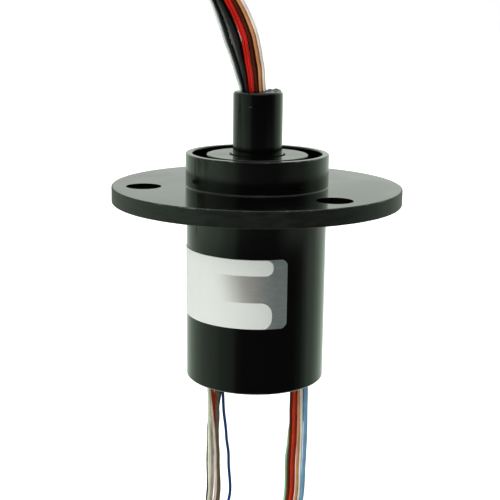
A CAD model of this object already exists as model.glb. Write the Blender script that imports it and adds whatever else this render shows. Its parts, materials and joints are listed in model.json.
import json
import math

import bmesh
import bpy
from mathutils import Matrix, Vector


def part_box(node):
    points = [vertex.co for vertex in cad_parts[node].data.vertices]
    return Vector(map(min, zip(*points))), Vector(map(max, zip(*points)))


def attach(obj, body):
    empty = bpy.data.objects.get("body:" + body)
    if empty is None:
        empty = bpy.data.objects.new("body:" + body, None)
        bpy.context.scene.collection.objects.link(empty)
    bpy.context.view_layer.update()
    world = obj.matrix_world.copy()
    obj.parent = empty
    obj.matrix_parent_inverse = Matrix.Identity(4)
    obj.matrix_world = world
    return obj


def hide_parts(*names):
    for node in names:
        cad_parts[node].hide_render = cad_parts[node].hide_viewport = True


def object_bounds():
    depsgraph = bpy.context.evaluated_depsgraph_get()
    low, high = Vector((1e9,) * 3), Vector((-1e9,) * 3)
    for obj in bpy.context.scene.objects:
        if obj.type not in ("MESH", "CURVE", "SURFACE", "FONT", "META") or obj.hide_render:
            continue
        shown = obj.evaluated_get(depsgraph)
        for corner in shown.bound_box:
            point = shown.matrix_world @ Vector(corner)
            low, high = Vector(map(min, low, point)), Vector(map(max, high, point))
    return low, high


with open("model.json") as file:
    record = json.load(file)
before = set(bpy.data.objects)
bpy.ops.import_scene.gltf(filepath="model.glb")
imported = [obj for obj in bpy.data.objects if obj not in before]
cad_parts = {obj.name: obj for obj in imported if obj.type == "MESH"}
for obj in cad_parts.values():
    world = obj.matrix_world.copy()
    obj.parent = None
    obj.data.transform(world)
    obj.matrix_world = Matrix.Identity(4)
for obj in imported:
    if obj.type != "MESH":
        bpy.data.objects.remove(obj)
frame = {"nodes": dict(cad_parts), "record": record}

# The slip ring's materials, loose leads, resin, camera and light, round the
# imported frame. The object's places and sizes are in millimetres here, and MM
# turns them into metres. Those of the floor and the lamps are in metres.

cad_low, cad_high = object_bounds()

MM = 0.001
# The housing's sizes, as part.scad has them
FLANGE_R = 22.4
FLANGE_TOP = 2.5
COLLAR_R = 11.05
COLLAR_TOP = 7.5
BOSS_R = 7.85
BOSS_TOP = 7.3

scene = bpy.context.scene
scene.view_settings.view_transform = "Standard"


# ------------------------------------------------------------------ camera
# It stands CAMERA_AWAY from the axis, on the side of -Y, and looks down by
# PITCH. The lens and the sensor are in millimetres, the clipping in metres.

CAMERA_AWAY = 166.6
CAMERA_HEIGHT = 29.5
PITCH = math.radians(12.65)
YAW = math.radians(-0.327)
ROLL = math.radians(0.70)
LENS = 78.3
SENSOR = 36
CLIP_START, CLIP_END = 0.01, 20


def add_camera():
    ahead = Vector((math.sin(YAW) * math.cos(PITCH), math.cos(YAW) * math.cos(PITCH), -math.sin(PITCH)))
    level = Vector((math.cos(YAW), -math.sin(YAW), 0))
    up = level.cross(ahead)
    right = math.cos(ROLL) * level + math.sin(ROLL) * up
    top = -math.sin(ROLL) * level + math.cos(ROLL) * up
    data = bpy.data.cameras.new("camera")
    data.lens = LENS
    data.sensor_width = SENSOR
    data.clip_start = CLIP_START
    data.clip_end = CLIP_END
    camera = bpy.data.objects.new("camera", data)
    turn = Matrix((right, top, -ahead)).transposed().to_4x4()
    camera.matrix_world = Matrix.Translation(Vector((0, -CAMERA_AWAY, CAMERA_HEIGHT)) * MM) @ turn
    scene.collection.objects.link(camera)
    scene.camera = camera


add_camera()


# --------------------------------------------------------------- materials

def rgb(r, g, b):
    """A colour as it looks on a screen, 0 to 255, as the linear one that a shader takes."""
    out = []
    for c in (r, g, b):
        c = c / 255
        out.append(c / 12.92 if c <= 0.04045 else ((c + 0.055) / 1.055) ** 2.4)
    return (*out, 1.0)


def feed(tree, socket, value):
    """Links the socket to a Value or a node's output, or sets it to a number or colour."""
    if isinstance(value, Value):
        value = value.socket
    if isinstance(value, bpy.types.NodeSocket):
        tree.links.new(value, socket)
    else:
        socket.default_value = value


class Value:
    """A number in a node tree, which can be added to, multiplied and so on."""

    def __init__(self, tree, socket):
        self.tree = tree
        self.socket = socket

    def math(self, operation, other=None, swap=False):
        node = self.tree.nodes.new("ShaderNodeMath")
        node.operation = operation
        for socket, value in zip(node.inputs, (other, self) if swap else (self, other)):
            if value is not None:
                feed(self.tree, socket, value)
        return Value(self.tree, node.outputs[0])

    def __add__(self, other):
        return self.math("ADD", other)

    def __sub__(self, other):
        return self.math("SUBTRACT", other)

    def __rsub__(self, other):
        return self.math("SUBTRACT", other, swap=True)

    def __mul__(self, other):
        return self.math("MULTIPLY", other)

    def ramp(self, low, high, start=0.0, end=1.0, kind="SMOOTHSTEP"):
        """start up to low, end from high on, and between them a smooth step, or a line if LINEAR."""
        node = self.tree.nodes.new("ShaderNodeMapRange")
        node.interpolation_type = kind
        for name, value in (("From Min", low), ("From Max", high), ("To Min", start), ("To Max", end)):
            node.inputs[name].default_value = value
        self.tree.links.new(self.socket, node.inputs["Value"])
        return Value(self.tree, node.outputs["Result"])


# The sockets of a Mix node that hold its two colours and their blend
MIX_A, MIX_B, MIX_RESULT = 6, 7, 2


class Shader:
    """A material with a Principled shader, and short ways to add nodes to it."""

    def __init__(self, name, **sockets):
        self.material = bpy.data.materials.new(name)
        self.material.use_nodes = True
        self.tree = self.material.node_tree
        self.main = self.tree.nodes["Principled BSDF"]
        for socket, value in sockets.items():
            self.main.inputs[socket.replace("_", " ")].default_value = value
        self.place = self.tree.nodes.new("ShaderNodeTexCoord").outputs["Object"]

    def axes(self):
        return split_axes(self.tree, self.place)

    def stretched(self, factors):
        """The place for a noise that is finer along an axis by that axis's factor."""
        node = self.tree.nodes.new("ShaderNodeMapping")
        node.inputs["Scale"].default_value = factors
        self.tree.links.new(self.place, node.inputs["Vector"])
        return node.outputs["Vector"]

    def noise(self, scale, detail=3.0, rough=0.5, vector=None):
        """Noise from 0 to 1, of about scale cells to the metre."""
        node = self.tree.nodes.new("ShaderNodeTexNoise")
        node.inputs["Scale"].default_value = scale
        node.inputs["Detail"].default_value = detail
        node.inputs["Roughness"].default_value = rough
        self.tree.links.new(vector or self.place, node.inputs["Vector"])
        return Value(self.tree, node.outputs["Fac"])

    def blend(self, factor, a, b):
        """The colour a where factor is 0, b where it is 1."""
        node = self.tree.nodes.new("ShaderNodeMix")
        node.data_type = "RGBA"
        for socket, value in (("Factor", factor), (MIX_A, a), (MIX_B, b)):
            feed(self.tree, node.inputs[socket], value)
        return node.outputs[MIX_RESULT]

    def bump(self, height, strength, distance):
        node = self.tree.nodes.new("ShaderNodeBump")
        node.inputs["Strength"].default_value = strength
        node.inputs["Distance"].default_value = distance
        feed(self.tree, node.inputs["Height"], height)
        return node.outputs["Normal"]

    def set(self, socket, value):
        feed(self.tree, self.main.inputs[socket], value)


def split_axes(tree, vector):
    node = tree.nodes.new("ShaderNodeSeparateXYZ")
    tree.links.new(vector, node.inputs[0])
    return [Value(tree, out) for out in node.outputs]


def darker(colour, share):
    return tuple(c * share for c in colour[:3]) + (1.0,)


# What dust, scratches, wear and turned plastic look like on the black, and how
# much of it fine scratches and worn edges show.
MARK_COLOUR = rgb(113, 132, 119)
SCRATCHES_SHOW = 0.3
WEAR_SHOWS = 0.5
MARKS_ROUGHEN = 0.3
# The shares between which the grey tone comes and goes in streaks
STREAKS_LOW, STREAKS_HIGH = 0.5, 1.6


def moulded_black(name, colour, rough, dust=0.82, finish=None):
    """Gloss black plastic: a faint ripple, uneven gloss, fine scratches and specks of dust.

    There is a speck where a noise passes dust. finish takes x, y and z in mm
    and gives extra roughness, turning marks, wear and a grey tone."""
    s = Shader(name, IOR=1.5)
    speck = s.noise(1500, rough=0.62).ramp(dust, dust + 0.03)
    scratch = s.noise(260, detail=2, vector=s.stretched((1.0, 9.0, 9.0))).ramp(0.76, 0.79)
    marks = speck.math("MAXIMUM", scratch * SCRATCHES_SHOW)
    gloss = s.noise(90, detail=2).ramp(0.3, 0.7, rough - 0.03, rough + 0.05)
    height = s.noise(330)
    if finish:
        extra, turned, edges, tone = finish(*(axis * (1 / MM) for axis in s.axes()))
        gloss = gloss + extra
        height = height + s.noise(900, detail=2, vector=s.stretched((0.4, 0.4, 12.0))) * turned
        worn = s.noise(420, rough=0.7).ramp(0.5, 0.68) * edges
        streaks = s.noise(700, rough=0.6, vector=s.stretched((0.5, 0.5, 3.0)))
        uneven = streaks.ramp(0.3, 0.7, STREAKS_LOW, STREAKS_HIGH)
        marks = marks.math("MAXIMUM", worn * WEAR_SHOWS).math("MAXIMUM", tone * uneven)
    s.set("Base Color", s.blend(marks, colour, MARK_COLOUR))
    s.set("Roughness", gloss + marks * MARKS_ROUGHEN)
    s.set("Normal", s.bump(height, strength=0.05, distance=0.00002))
    return s.material


# How much rougher than the rest the housing's parts are
EDGE_DULL, WALL_DULL, BOSS_DULL, TOP_DULL = 0.38, 0.05, 0.1, 0.04
# How strong the turning marks on the flange's edge are, where the collar's wall
# has 1, how grey they make that edge, and how worn the joint line looks
EDGE_TURNED = 3.0
EDGE_GREY = 0.036
JOINT_WEAR = 0.12


def housing_finish(x, y, z):
    """The flange's edge is turned and dull, the collar's wall, the boss and the
    flange's top a little dull, and the edges worn.

    Each mask is 1 on its own part, with margins and soft borders in mm."""
    radius = (x * x + y * y).math("SQRT")
    boss = (1.0 - radius.ramp(BOSS_R + 0.35, BOSS_R + 0.75)) * z.ramp(BOSS_TOP - 0.4, BOSS_TOP - 0.2)
    top = z.ramp(FLANGE_TOP - 0.06, FLANGE_TOP - 0.01)
    top = top * (1.0 - z.ramp(FLANGE_TOP + 0.02, FLANGE_TOP + 0.1))
    edge = radius.ramp(FLANGE_R - 0.25, FLANGE_R - 0.1)
    wall = radius.ramp(COLLAR_R - 0.12, COLLAR_R - 0.05)
    wall = wall * (1.0 - radius.ramp(COLLAR_R + 0.1, COLLAR_R + 0.3))
    wall = wall * z.ramp(FLANGE_TOP - 0.1, FLANGE_TOP + 0.3)
    flange_edge = radius.ramp(FLANGE_R - 0.22, FLANGE_R - 0.12)
    flange_edge = flange_edge * z.ramp(FLANGE_TOP - 0.25, FLANGE_TOP - 0.08)
    joint = 1.0 - (radius - (COLLAR_R + 0.08)).math("ABSOLUTE").ramp(0.08, 0.16)
    joint = joint * (1.0 - z.ramp(FLANGE_TOP + 0.15, FLANGE_TOP + 0.3))
    collar_edge = radius.ramp(COLLAR_R - 0.2, COLLAR_R - 0.12)
    collar_edge = collar_edge * z.ramp(COLLAR_TOP - 0.25, COLLAR_TOP - 0.08)
    extra = edge * EDGE_DULL + wall * WALL_DULL + boss * BOSS_DULL + top * TOP_DULL
    wear = flange_edge.math("MAXIMUM", joint * JOINT_WEAR).math("MAXIMUM", collar_edge)
    return extra, edge * EDGE_TURNED + wall, wear, edge * EDGE_GREY


def lead_insulation(name, colour):
    """Extruded fluoropolymer: satin, with faint colour drift along the lead."""
    s = Shader(name, Roughness=0.3, IOR=1.38)
    drift = s.noise(300, detail=2).ramp(0.35, 0.65)
    s.set("Base Color", s.blend(drift, darker(colour, 0.8), colour))
    s.set("Normal", s.bump(s.noise(2500, detail=2), strength=0.1, distance=0.00001))
    return s.material


def metal(name, colour, rough):
    """Metal with a slight drift of colour and gloss."""
    s = Shader(name, Metallic=1.0)
    s.set("Base Color", s.blend(s.noise(900), darker(colour, 0.85), colour))
    s.set("Roughness", s.noise(2200, detail=2).ramp(0.3, 0.7, rough - 0.04, rough + 0.08))
    return s.material


def plain(name, colour, rough):
    """Dull plastic or board with a slight drift of colour and a fine grain."""
    s = Shader(name, Roughness=rough)
    s.set("Base Color", s.blend(s.noise(500), darker(colour, 0.88), colour))
    s.set("Normal", s.bump(s.noise(1800), strength=0.15, distance=0.00002))
    return s.material


# The label's two blank fields: lowest and highest z, the angle in degrees from
# -Y towards +X where they end, and the radius of their corners.
LABEL_FIELDS = [(-9.45, -7.05, 14.0, 1.15), (-17.75, -13.55, 13.2, 1.75)]
LABEL_FIELD_LENGTH = 24.0
# The foil between them fades to their colour, towards -X, between these places
# along the arc from -Y. They are for this z, and lie further to +X below it.
LABEL_FADE_TO, LABEL_FADE_FROM = -7.5, -1.0
LABEL_FADE_Z = -9.5
LABEL_FADE_SLANT = 0.35
LABEL_FIELD_COLOUR = rgb(217, 221, 215)
# The foil is warm grey, cool grey further to +X, and brighter along its grain
FOIL_WARM, FOIL_COOL, FOIL_BRIGHT = rgb(204, 201, 195), rgb(150, 164, 160), rgb(230, 232, 230)
FOIL_WARM_TO, FOIL_COOL_FROM = -1.5, 3.2
FOIL_METALLIC = 0.6


def label_foil():
    """Brushed silver foil with two blank pale fields on it, which join on the side of -X."""
    s = Shader("label_silver", IOR=1.45)
    radius = max(abs(v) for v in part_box("label")[0][:2]) / MM
    x, y, z = s.axes()
    arc = x.math("ARCTAN2", y * -1.0) * radius
    height = z * (1 / MM)
    fade = arc + (height - LABEL_FADE_Z) * LABEL_FADE_SLANT
    fields = fade.ramp(LABEL_FADE_TO, LABEL_FADE_FROM, 1.0, 0.0)
    for low, high, angle, corner in LABEL_FIELDS:
        middle = math.radians(angle) * radius - LABEL_FIELD_LENGTH / 2
        inner_x = (arc - middle).math("ABSOLUTE") - (LABEL_FIELD_LENGTH / 2 - corner)
        inner_z = (height - (low + high) / 2).math("ABSOLUTE") - ((high - low) / 2 - corner)
        outside_x = inner_x.math("MAXIMUM", 0.0)
        outside_z = inner_z.math("MAXIMUM", 0.0)
        reach = (outside_x * outside_x + outside_z * outside_z).math("SQRT")
        fields = fields.math("MAXIMUM", reach.ramp(corner - 0.04, corner + 0.02, 1.0, 0.0))
    grain = s.noise(700, rough=0.6, vector=s.stretched((1.0, 1.0, 4.0)))
    foil = s.blend(arc.ramp(FOIL_WARM_TO, FOIL_COOL_FROM), FOIL_WARM, FOIL_COOL)
    foil = s.blend(grain.ramp(0.2, 1.8), foil, FOIL_BRIGHT)
    s.set("Base Color", s.blend(fields, foil, LABEL_FIELD_COLOUR))
    s.set("Metallic", FOIL_METALLIC - fields * FOIL_METALLIC)
    s.set("Roughness", grain.ramp(0.3, 0.7, 0.32, 0.37) + fields * 0.15)
    s.set("Normal", s.bump(grain * 0.25 + fields * 0.6, strength=0.1, distance=0.00001))
    return s.material


MATERIALS = {
    "housing_plastic": moulded_black("housing_plastic", rgb(5, 5, 5), rough=0.11, finish=housing_finish),
    "shaft_plastic": moulded_black("shaft_plastic", rgb(4, 4, 4), rough=0.15),
    "resin": moulded_black("resin", rgb(11, 12, 11), rough=0.07, dust=0.9),
    "label_silver": label_foil(),
    "board_green": plain("board_green", rgb(28, 84, 44), rough=0.4),
    "gold": metal("gold", rgb(226, 186, 96), rough=0.16),
    "bearing_steel": metal("bearing_steel", rgb(196, 198, 200), rough=0.14),
    "cage_brass": metal("cage_brass", rgb(190, 164, 96), rough=0.3),
    "nut_steel": metal("nut_steel", rgb(180, 182, 184), rough=0.26),
    "barrier_plastic": plain("barrier_plastic", rgb(226, 222, 208), rough=0.45),
    "tie_nylon": plain("tie_nylon", rgb(228, 228, 220), rough=0.38),
}
LEAD_COLOURS = {
    "white": (222, 226, 220), "red": (204, 24, 13), "blue": (24, 60, 118), "brown": (92, 36, 14),
    "black": (14, 15, 16), "charcoal": (34, 37, 36), "tan": (205, 145, 96),
    "orange": (220, 112, 62), "cream": (244, 232, 214), "ivory": (222, 226, 196),
    "grey": (136, 140, 134), "sky": (116, 164, 196), "teal": (40, 84, 80),
    "green": (158, 206, 160), "pale": (224, 226, 214), "rust": (198, 50, 18),
    "olive": (92, 84, 64),
}
for name, colour in LEAD_COLOURS.items():
    MATERIALS[f"lead_{name}"] = lead_insulation(f"lead_{name}", rgb(*colour))

slots = {part["node"]: part["material_slot"] for part in frame["record"]["subparts"]}
for node, obj in frame["nodes"].items():
    obj.data.materials.clear()
    obj.data.materials.append(MATERIALS[slots[node]])


# ------------------------------------------------------------------- leads
# The routes are those of part.scad, in millimetres, but for the first seven
# points of the rotor's, where it leans up to about half a millimetre from the
# source's line. Each lead follows its bundle's line at an offset of its own,
# across the bundle (u) and through its depth (v).

LEAD_D = 0.5
LEAD_LENGTH = 250.0
# The distance between a line's points, and the points of one fold
STEP = 0.6
FOLD_POINTS = 14
# A hank's folds, its runs, and how far its last run may go on below the folds
FOLD_R = 3.0
HANK_RUNS = 5
HANK_TAIL = 18.0
# The height of each kind of hank, half its bundle's thickness, the share of its
# width that is left at the tie, and the way its runs go on: 1 is towards +Y
ROTOR_HANK = {"run": 25.0, "half_depth": 0.8, "waist": 0.31, "way": 1}
STATOR_HANK = {"run": 36.0, "half_depth": 0.55, "waist": 0.22, "way": -1}

ROTOR_ROUTE = [
    (-0.68, 0, 16.7), (-0.85, 0, 17.8), (-1.42, 0, 20.6), (-2.5, 0, 24.4),
    (-4.2, 0, 28.8), (-7, -0.5, 34.1), (-10.5, -1.4, 39.5), (-15, -2.6, 43.8),
    (-21, -4.4, 47), (-28, -6.6, 48), (-35, -8.8, 46.2),
    (-41, -10.8, 42), (-45, -11.8, 36.4), (-46.6, -12, 32.4),
    (-47, -12, 29.4), (-47, -12, 27.4),
]
LEFT_ROUTE = [
    (-6.6, 0, -28), (-6.6, 0, -29.2), (-6.2, 0, -33), (-5.8, 0, -38),
    (-5.7, 0, -43), (-6, 0, -48), (-6.4, 0, -52.5), (-6.4, 0, -55),
]
RIGHT_ROUTE = [
    (7, 0, -28), (7, 0, -29.2), (7.1, 0, -33), (7.2, 0, -38),
    (7.1, 0, -43), (6.8, 0, -48), (6.4, 0, -52.5), (6.4, 0, -55),
]


def smooth_line(points):
    """A Catmull-Rom curve through the points, sampled every STEP or so."""
    p = [Vector(q) for q in points]
    p = [2 * p[0] - p[1]] + p + [2 * p[-1] - p[-2]]
    line = []
    for a, b, c, d in zip(p, p[1:], p[2:], p[3:]):
        count = max(2, round((c - b).length / STEP))
        for i in range(count):
            t = i / count
            line.append(0.5 * (2 * b + (c - a) * t + (2 * a - 5 * b + 4 * c - d) * t * t
                               + (3 * b - a - 3 * c + d) * t ** 3))
    return line + [p[-2]]


def hank_line(start, run, half_depth, waist, way):
    """The folded runs of a hank, side by side along Y, drawn in at the tie.

    Each lead is cut to its length in the last run."""
    low = start.z - run + half_depth
    high = start.z - FOLD_R - half_depth
    middle_z = start.z - run / 2 - FOLD_R / 2
    middle_y = start.y + way * (HANK_RUNS - 1) * FOLD_R
    line = []
    for i in range(HANK_RUNS):
        y = start.y + way * i * 2 * FOLD_R
        bottom = low - HANK_TAIL if i == HANK_RUNS - 1 else low
        ends = (start.z if i == 0 else high, bottom) if i % 2 == 0 else (low, high)
        count = round(abs(ends[1] - ends[0]) / STEP)
        line += [Vector((start.x, y, ends[0] + (ends[1] - ends[0]) * k / count)) for k in range(count)]
        if i < HANK_RUNS - 1:
            sign = -1 if i % 2 == 0 else 1
            for k in range(FOLD_POINTS):
                angle = math.pi * k / FOLD_POINTS
                line.append(Vector((start.x, y + way * FOLD_R * (1 - math.cos(angle)),
                                    ends[1] + sign * FOLD_R * math.sin(angle))))
    for p in line:
        t = (p.z - middle_z) / (high - low)
        if abs(t) < 0.5:
            p.y = middle_y + (p.y - middle_y) * (1 - (1 - waist) * math.cos(math.pi * t) ** 2)
    return line


def frames_along(line, split):
    """The vectors across the bundle and through its depth at each point.

    The hank starts at index split, and there across is -X."""
    out = []
    for i, p in enumerate(line):
        t = (line[min(i + 1, len(line) - 1)] - line[max(i - 1, 0)]).normalized()
        side = Vector((0, 1, 0)).cross(t).normalized() if i < split else Vector((-1, 0, 0))
        out.append((side, t.cross(side).normalized()))
    return out


def bundle_line(route, run, half_depth, waist, way):
    """A bundle's line with its hank, the vectors at each point and the distance up to it."""
    free = smooth_line(route)
    line = free[:-1] + hank_line(free[-1], run, half_depth, waist, way)
    travelled = [0.0]
    for a, b in zip(line, line[1:]):
        travelled.append(travelled[-1] + (b - a).length)
    return line, frames_along(line, len(free) - 1), travelled


def ease(t):
    """A smooth step from 0 to 1."""
    t = min(max(t, 0.0), 1.0)
    return t * t * (3 - 2 * t)


def along(stations, s):
    """The value at distance s from a list of (distance, value) pairs."""
    if s <= stations[0][0]:
        return stations[0][1]
    for (s0, v0), (s1, v1) in zip(stations, stations[1:]):
        if s <= s1:
            return v0 + (v1 - v0) * ease((s - s0) / (s1 - s0))
    return stations[-1][1]


def add_lead(name, bundle, u_at, v_at, colour, body, replaced):
    """One lead at the offsets u_at and v_at, which are stations along its bundle's line."""
    line, frames, travelled = bundle
    points = []
    length = 0.0
    for p, (side, depth), s in zip(line, frames, travelled):
        q = p + side * along(u_at, s) + depth * along(v_at, s)
        if points:
            step = (q - points[-1]).length
            if length + step >= LEAD_LENGTH:
                points.append(points[-1].lerp(q, (LEAD_LENGTH - length) / step))
                break
            length += step
        points.append(q)
    curve = bpy.data.curves.new(name, "CURVE")
    curve.dimensions = "3D"
    curve.bevel_depth = LEAD_D / 2 * MM
    curve.bevel_resolution = 3
    curve.use_fill_caps = True
    spline = curve.splines.new("POLY")
    spline.points.add(len(points) - 1)
    for sp, q in zip(spline.points, points):
        sp.co = (*(q * MM), 1.0)
    spline.use_smooth = True
    obj = bpy.data.objects.new(name, curve)
    obj.data.materials.append(MATERIALS[f"lead_{colour}"])
    scene.collection.objects.link(obj)
    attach(obj, body)
    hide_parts(*replaced)
    tuple(points[0] * MM)


# Rotor leads, row by row from -Y: colour, then the place across the bundle at
# each of the stations, and the depth at the last two. From the last station on
# a lead keeps its place. Stations are distances along the line from its start.
ROTOR_STATIONS = (0.0, 4.3, 6.2, 8.2, 22.0)
ROTOR_LEADS = [
    ("black", -1.42, -1.64, -1.76, -1.86, -1.42, -0.34, -0.46),
    ("charcoal", -0.98, -0.94, -0.92, -0.90, -0.92, -0.58, -0.46),
    ("red", -0.48, -0.26, -0.07, 0.17, -0.42, -0.40, -0.46),
    ("red", -0.08, 0.14, 0.33, 0.57, 0.10, -0.72, -0.46),
    ("brown", 0.46, 0.68, 0.86, 1.08, 0.60, -0.44, -0.46),
    ("tan", 1.10, 1.50, 1.66, 1.82, 1.10, -0.44, -0.46),
    ("cream", 1.66, 2.06, 2.24, 2.38, 1.60, -0.36, -0.46),
    ("white", -1.80, -2.24, -2.36, -2.48, -1.60, 0.10, 0.02),
    ("grey", -1.24, -1.28, -1.34, -1.38, -1.10, -0.02, 0.02),
    ("black", -0.72, -0.60, -0.50, -0.42, -0.60, 0.00, 0.02),
    ("blue", -0.22, -0.06, 0.06, 0.20, -0.10, 0.08, 0.02),
    ("brown", 0.78, 1.12, 1.28, 1.44, 0.42, 0.00, 0.02),
    ("orange", 1.30, 1.66, 1.80, 1.94, 0.94, 0.06, 0.02),
    ("teal", -1.45, -1.85, -1.95, -2.05, -1.40, 0.60, 0.50),
    ("black", -0.93, -0.90, -0.86, -0.82, -0.86, 0.62, 0.50),
    ("green", -0.40, -0.46, -0.40, -0.36, -0.32, 0.57, 0.50),
    ("ivory", 0.20, 0.42, 0.60, 0.76, 0.24, 0.50, 0.50),
    ("sky", 0.85, 1.12, 1.24, 1.34, 0.80, 0.54, 0.50),
]


def add_rotor_leads():
    bundle = bundle_line(ROTOR_ROUTE, **ROTOR_HANK)
    for i, (colour, *places, near, far) in enumerate(ROTOR_LEADS):
        add_lead(f"rotor_lead_{i + 1:02d}", bundle, list(zip(ROTOR_STATIONS, places)),
                 list(zip(ROTOR_STATIONS[-2:], (near, far))), colour, "rotor",
                 ("rotor_leads", "rotor_hank"))


# Stator leads: colour, then x at each of the stations but the first, the last
# of them in the hank, and the depth. Stations are distances along the line from
# the exit.
STATOR_STATIONS = (0.0, 3.0, 7.0, 11.0, 15.0, 21.0, 31.0)
LEFT_LEADS = [
    ("ivory", -7.25, -7.22, -7.22, -7.2, -7.2, -7.35, -0.76),
    ("cream", -7.2, -6.8, -6.42, -6.2, -6.2, -6.85, -0.25),
    ("rust", -6.7, -6.55, -6.42, -6.2, -6.1, -5.6, 0.22),
    ("orange", -6.22, -6.2, -6.28, -6.22, -6.2, -6.35, 0.7),
    ("olive", -5.72, -5.92, -5.9, -5.7, -5.6, -5.35, -0.3),
    ("blue", -5.06, -4.85, -4.45, -4.05, -3.8, -6.1, 0.2),
    ("black", -7.2, -7.25, -7.42, -7.48, -7.48, -7.1, 0.25),
    ("pale", -6.75, -6.75, -6.82, -6.75, -6.8, -6.85, 0.7),
    ("blue", -5.45, -5.8, -5.9, -5.9, -5.9, -5.85, 0.75),
]
RIGHT_LEADS = [
    ("brown", 6.0, 6.0, 5.98, 5.85, 5.75, 5.4, -0.25),
    ("rust", 6.45, 6.45, 6.42, 6.3, 6.2, 5.9, -0.3),
    ("rust", 6.85, 6.85, 6.82, 6.7, 6.6, 6.15, 0.2),
    ("tan", 7.22, 7.27, 7.27, 7.2, 7.1, 6.4, -0.25),
    ("pale", 7.72, 7.76, 7.77, 7.7, 7.6, 6.9, -0.25),
    ("teal", 7.95, 7.9, 7.6, 7.5, 7.4, 6.65, 0.25),
    ("sky", 8.24, 8.27, 8.28, 8.2, 8.02, 7.4, -0.55),
    ("sky", 8.48, 8.5, 8.5, 8.4, 8.2, 7.4, -0.05),
    ("green", 6.3, 6.2, 5.75, 5.42, 5.35, 5.65, 0.2),
]


def add_stator_leads(side, route, leads):
    """Each lead comes out at its first x, or as near to it as the potting of its slot reaches."""
    bundle = bundle_line(route, **STATOR_HANK)
    line, _, travelled = bundle
    low, high = (corner[0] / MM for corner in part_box(f"potting_{side}"))

    def centre_x(s):
        return next(p.x for p, d in zip(line, travelled) if d >= s)

    for i, (colour, *xs, depth) in enumerate(leads):
        exit_x = min(max(xs[0], low + LEAD_D / 2), high - LEAD_D / 2)
        stations = [(s, centre_x(s) - x) for s, x in zip(STATOR_STATIONS, [exit_x] + xs)]
        add_lead(f"stator_lead_{side}_{i + 1}", bundle, stations, [(0.0, depth)], colour,
                 "stator", (f"stator_leads_{side}", f"stator_hank_{side}"))


add_rotor_leads()
add_stator_leads("left", LEFT_ROUTE, LEFT_LEADS)
add_stator_leads("right", RIGHT_ROUTE, RIGHT_LEADS)


# ------------------------------------------------------------------- resin
# The potting in the shaft's mouth: it climbs the wall and the leads, and three
# drops of it lie on the side of +X, where it also reaches over the rim.

MOUTH_R = 2.8
MOUTH_Z = 16.9
RESIN_Z = 16.72
RESIN_DEPTH = 0.6
# How far it climbs the wall, and from which radius on and over what width
WALL_CLIMB, WALL_CLIMB_FROM, WALL_CLIMB_WIDTH = 0.15, 2.2, 0.58
# How far it climbs a lead, the square of the climb's reach, and the width near
# the wall over which that climb dies away
LEAD_CLIMB, LEAD_CLIMB_REACH2, LEAD_CLIMB_END = 0.22, 0.16, 0.3
# The drops: x, y, height, and half their width along X and along Y
DROPS = [(1.72, 0.2, 0.5, 0.4, 0.6), (2.75, 0.7, 0.4, 0.5, 0.55), (2.3, -1.0, 0.16, 0.35, 0.3)]
# How far it reaches over the rim, and the middle and half width of that in radians
OVER_RIM, OVER_RIM_AT, OVER_RIM_WIDTH = 0.78, 0.22, 0.42
# How far its edge goes down over the rim, and under that, and how far it stays
# clear of the shaft's bore
EDGE_DOWN, UNDER_EDGE = 0.05, 0.06
CLEAR = 0.03
SPOKES, RINGS = 96, 34


def add_resin():
    feet = [(ROTOR_ROUTE[0][0] + places[0], near) for _, *places, near, _ in ROTOR_LEADS]

    def height(x, y):
        r = math.hypot(x, y)
        z = RESIN_Z + WALL_CLIMB * ease((r - WALL_CLIMB_FROM) / WALL_CLIMB_WIDTH)
        nearest = max(math.exp(-((x - a) ** 2 + (y - b) ** 2) / LEAD_CLIMB_REACH2) for a, b in feet)
        z += LEAD_CLIMB * nearest * ease((MOUTH_R - r) / LEAD_CLIMB_END)
        for a, b, tall, wide, deep in DROPS:
            z += tall * math.exp(-((x - a) / wide) ** 2 / 2 - ((y - b) / deep) ** 2 / 2)
        return z

    def edge(angle):
        turn = (angle + math.pi) % (2 * math.pi) - math.pi
        return MOUTH_R + OVER_RIM * math.exp(-((turn - OVER_RIM_AT) / OVER_RIM_WIDTH) ** 2)

    def circle(radius_at, z_at):
        """A ring of vertices, with the radius at an angle and z at a place."""
        ring = []
        for i in range(SPOKES):
            angle = 2 * math.pi * i / SPOKES
            x, y = radius_at(angle) * math.cos(angle), radius_at(angle) * math.sin(angle)
            ring.append(mesh.verts.new((x * MM, y * MM, z_at(x, y) * MM)))
        return ring

    mesh = bmesh.new()
    top = mesh.verts.new((0, 0, height(0, 0) * MM))
    rings = [circle(lambda angle, j=j: edge(angle) * j / RINGS, height) for j in range(1, RINGS + 1)]
    rings.append(circle(edge, lambda x, y: MOUTH_Z - EDGE_DOWN))
    rings.append(circle(lambda angle: MOUTH_R - CLEAR, lambda x, y: MOUTH_Z - UNDER_EDGE))
    rings.append(circle(lambda angle: MOUTH_R - CLEAR, lambda x, y: RESIN_Z - RESIN_DEPTH))
    last = None
    for ring in rings:
        for i in range(SPOKES):
            k = (i + 1) % SPOKES
            mesh.faces.new((top, ring[i], ring[k]) if last is None
                           else (last[i], ring[i], ring[k], last[k]))
        last = ring
    mesh.faces.new(reversed(last))
    bmesh.ops.recalc_face_normals(mesh, faces=mesh.faces)
    data = bpy.data.meshes.new("rotor_resin")
    mesh.to_mesh(data)
    mesh.free()
    for face in data.polygons:
        face.use_smooth = True
    data.materials.append(MATERIALS["resin"])
    resin = bpy.data.objects.new("rotor_resin", data)
    scene.collection.objects.link(resin)
    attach(resin, "rotor")
    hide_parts("rotor_potting")


add_resin()


# ---------------------------------------------------------- floor and light

# How far the floor lies below the model, and half its width
FLOOR_DROP = 0.012
FLOOR_HALF = 6.0

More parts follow.
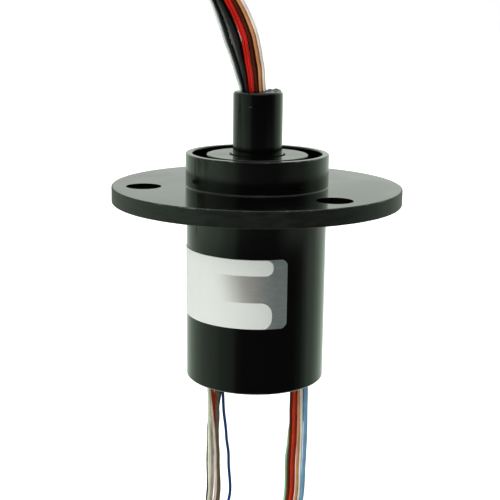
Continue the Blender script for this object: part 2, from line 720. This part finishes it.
# What gloss shows all round the object: the angle in degrees, from -Y towards
# +X, the level there, and how green it is. The levels were set by hand, so that
# the reflections in the black plastic look like those in the photo.
ROOM = [
    (-180, 0.88, 1.08), (-152, 0.86, 1.12), (-140, 0.80, 1.22), (-123, 0.66, 1.27),
    (-110, 0.57, 1.28), (-89, 0.47, 1.28), (-71, 0.40, 1.27), (-54, 0.27, 1.27),
    (-39, 0.21, 1.28), (-27, 0.05, 1.1), (-18, 0.03, 1.0), (65, 0.03, 1.0),
    (78, 0.08, 1.2), (87, 0.23, 1.25), (97, 0.43, 1.25), (108, 0.47, 1.25),
    (120, 0.62, 1.27), (136, 0.84, 1.25), (152, 0.95, 1.16), (180, 0.92, 1.08),
]

# The same for a ring of the floor round the object, which the upright walls show.
# RING_FROM and RING_TO are its radii in metres, and it fades over the soft widths.
RING = [
    (-180, 0.88, 1.08), (-140, 0.72, 1.22), (-121, 0.62, 1.25), (-88, 0.82, 1.25),
    (-64, 0.80, 1.25), (-42, 0.48, 1.25), (-21, 0.14, 1.2), (0, 0.09, 1.2),
    (31, 0.08, 1.2), (46, 0.25, 1.2), (58, 0.36, 1.2), (84, 0.34, 1.2),
    (104, 0.43, 1.2), (126, 0.80, 1.2), (150, 0.90, 1.12), (180, 0.92, 1.08),
]
RING_FROM, RING_FROM_SOFT = 0.52, 0.08
RING_TO, RING_TO_SOFT = 0.76, 0.12
# The blue part of all of it, as a share of the level
BLUE = 0.99
# Where a direction's z passes from the room's sides to its ceiling
CEILING_FROM, CEILING_TO = 0.6, 0.85
CEILING = (0.95, 0.97, 0.95, 1)
WHITE = (1, 1, 1, 1)
FLOOR_DARK, FLOOR_LIGHT = (0.88, 0.885, 0.88, 1), (0.91, 0.915, 0.91, 1)
# The light from all round, and what the floor adds to its own shade for the camera
AMBIENT = 0.42
FLOOR_GLOW = 0.75


def room_colour(tree, vector, levels=ROOM):
    """The room's colour in the direction of a vector from the object."""
    x, y, _ = split_axes(tree, vector)
    around = x.math("ARCTAN2", y * -1.0).ramp(-math.pi, math.pi, kind="LINEAR")
    node = tree.nodes.new("ShaderNodeValToRGB")
    node.color_ramp.interpolation = "EASE"
    feed(tree, node.inputs["Fac"], around)
    stops = node.color_ramp.elements
    while len(stops) < len(levels):
        stops.new(0.5)
    for stop, (angle, level, green) in zip(stops, levels):
        stop.position = angle / 360 + 0.5
        stop.color = (level, level * green, level * BLUE, 1)
    return node.outputs["Color"]


def emission(tree, kind, colour, strength=1.0):
    """An Emission or Background node's light."""
    node = tree.nodes.new(kind)
    feed(tree, node.inputs["Color"], colour)
    feed(tree, node.inputs["Strength"], strength)
    return node.outputs[0]


def mixed(tree, factor, a, b):
    """The shader a where factor is 0, b where it is 1."""
    node = tree.nodes.new("ShaderNodeMixShader")
    for socket, value in zip(node.inputs, (factor, a, b)):
        feed(tree, socket, value)
    return node.outputs[0]


def ray_kinds(tree):
    """1 for what the camera sees, also through something clear, and 1 for what gloss shows."""
    path = tree.nodes.new("ShaderNodeLightPath")
    camera, clear, glossy = (Value(tree, path.outputs[f"Is {kind} Ray"])
                             for kind in ("Camera", "Transmission", "Glossy"))
    return camera.math("MAXIMUM", clear), glossy


def add_floor():
    """A pale floor, which shows gloss the room instead of itself."""
    low = cad_low[2] - FLOOR_DROP
    mesh = bpy.data.meshes.new("floor")
    corners = ((-1, -1), (1, -1), (1, 1), (-1, 1))
    mesh.from_pydata([(FLOOR_HALF * x, FLOOR_HALF * y, low) for x, y in corners], [], [(0, 1, 2, 3)])
    floor = bpy.data.objects.new("floor", mesh)
    scene.collection.objects.link(floor)
    s = Shader("floor", Roughness=0.9)
    s.set("Base Color", s.blend(s.noise(3, detail=2), FLOOR_DARK, FLOOR_LIGHT))
    direct, glossy = ray_kinds(s.tree)
    glow = emission(s.tree, "ShaderNodeEmission", WHITE, direct * FLOOR_GLOW)
    both = s.tree.nodes.new("ShaderNodeAddShader")
    s.tree.links.new(s.main.outputs[0], both.inputs[0])
    s.tree.links.new(glow, both.inputs[1])
    x, y, _ = s.axes()
    away = (x * x + y * y).math("SQRT")
    ring = away.ramp(RING_FROM - RING_FROM_SOFT, RING_FROM)
    ring = ring * away.ramp(RING_TO, RING_TO + RING_TO_SOFT, 1.0, 0.0)
    room = emission(s.tree, "ShaderNodeEmission",
                    s.blend(ring, room_colour(s.tree, s.place), room_colour(s.tree, s.place, RING)))
    out = mixed(s.tree, glossy, both.outputs[0], room)
    s.tree.links.new(out, s.tree.nodes["Material Output"].inputs["Surface"])
    floor.data.materials.append(s.material)


def add_world():
    """White where the camera looks, the room for gloss, and an even light for the rest."""
    world = bpy.data.worlds.new("studio")
    world.use_nodes = True
    scene.world = world
    tree = world.node_tree
    tree.nodes.clear()
    place = tree.nodes.new("ShaderNodeTexCoord").outputs["Generated"]
    _, _, z = split_axes(tree, place)
    sides = emission(tree, "ShaderNodeBackground", room_colour(tree, place))
    ceiling = emission(tree, "ShaderNodeBackground", CEILING)
    room = mixed(tree, z.ramp(CEILING_FROM, CEILING_TO), sides, ceiling)
    ambient = emission(tree, "ShaderNodeBackground", WHITE, AMBIENT)
    white = emission(tree, "ShaderNodeBackground", WHITE)
    direct, glossy = ray_kinds(tree)
    out = tree.nodes.new("ShaderNodeOutputWorld")
    lit = mixed(tree, glossy, ambient, room)
    tree.links.new(mixed(tree, direct, lit, white), out.inputs["Surface"])


def add_lamp(name, place, size, watts):
    """A round lamp that shines at the origin and doesn't show in gloss."""
    data = bpy.data.lights.new(name, "AREA")
    data.shape = "DISK"
    data.size = size
    data.energy = watts
    lamp = bpy.data.objects.new(name, data)
    lamp.location = place
    lamp.rotation_euler = (-Vector(place)).to_track_quat("-Z", "Y").to_euler()
    lamp.visible_glossy = False
    scene.collection.objects.link(lamp)


add_floor()
add_world()
add_lamp("key", (-0.75, -0.4, 0.35), size=0.5, watts=5.0)
add_lamp("fill", (0.5, -0.7, 0.25), size=0.6, watts=1.2)
add_lamp("back", (0.1, 0.7, 0.6), size=0.6, watts=3.0)
